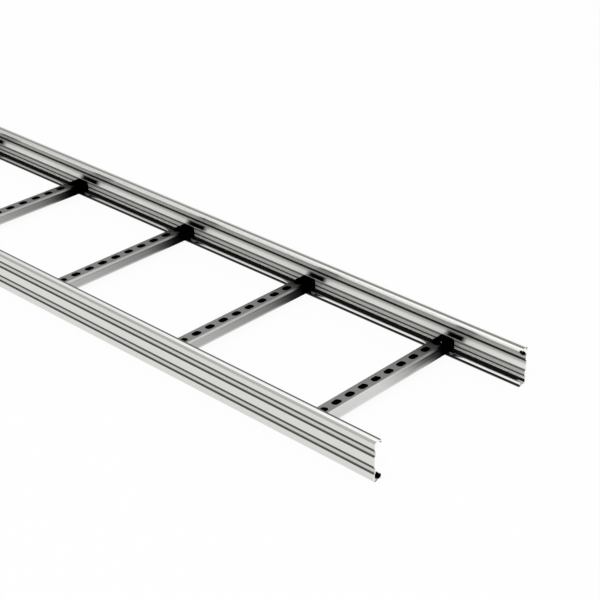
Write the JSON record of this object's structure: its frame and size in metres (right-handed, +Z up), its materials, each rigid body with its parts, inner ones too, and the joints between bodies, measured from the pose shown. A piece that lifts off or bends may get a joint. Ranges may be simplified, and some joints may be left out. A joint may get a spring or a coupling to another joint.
{
  "type": "cable ladder section",
  "caption": "Straight cable ladder section: ribbed C-section side rails joined by slotted channel rungs, on which cables are laid and tied.",
  "frame": {"origin": "middle of the ladder's underside, halfway between the rails and between their ends", "axes": "+X along the ladder, towards the end that the picture shows; +Y across it, from the near rail to the far rail; +Z upwards, out of the open side between the top flanges"},
  "size_m": [3, 0.3, 0.055],
  "materials": {
    "rail_steel": "pre-galvanised sheet, smooth satin light grey",
    "rung_steel": "pre-galvanised sheet, smooth satin grey"
  },
  "bodies": {
    "root": {"rail_near": "rail_steel", "rail_far": "rail_steel", "rung_01": "rung_steel", "rung_02": "rung_steel", "rung_03": "rung_steel", "rung_04": "rung_steel", "rung_05": "rung_steel", "rung_06": "rung_steel", "rung_07": "rung_steel", "rung_08": "rung_steel", "rung_09": "rung_steel", "rung_10": "rung_steel", "rung_11": "rung_steel", "rung_12": "rung_steel"}
  },
  "joints": []
}
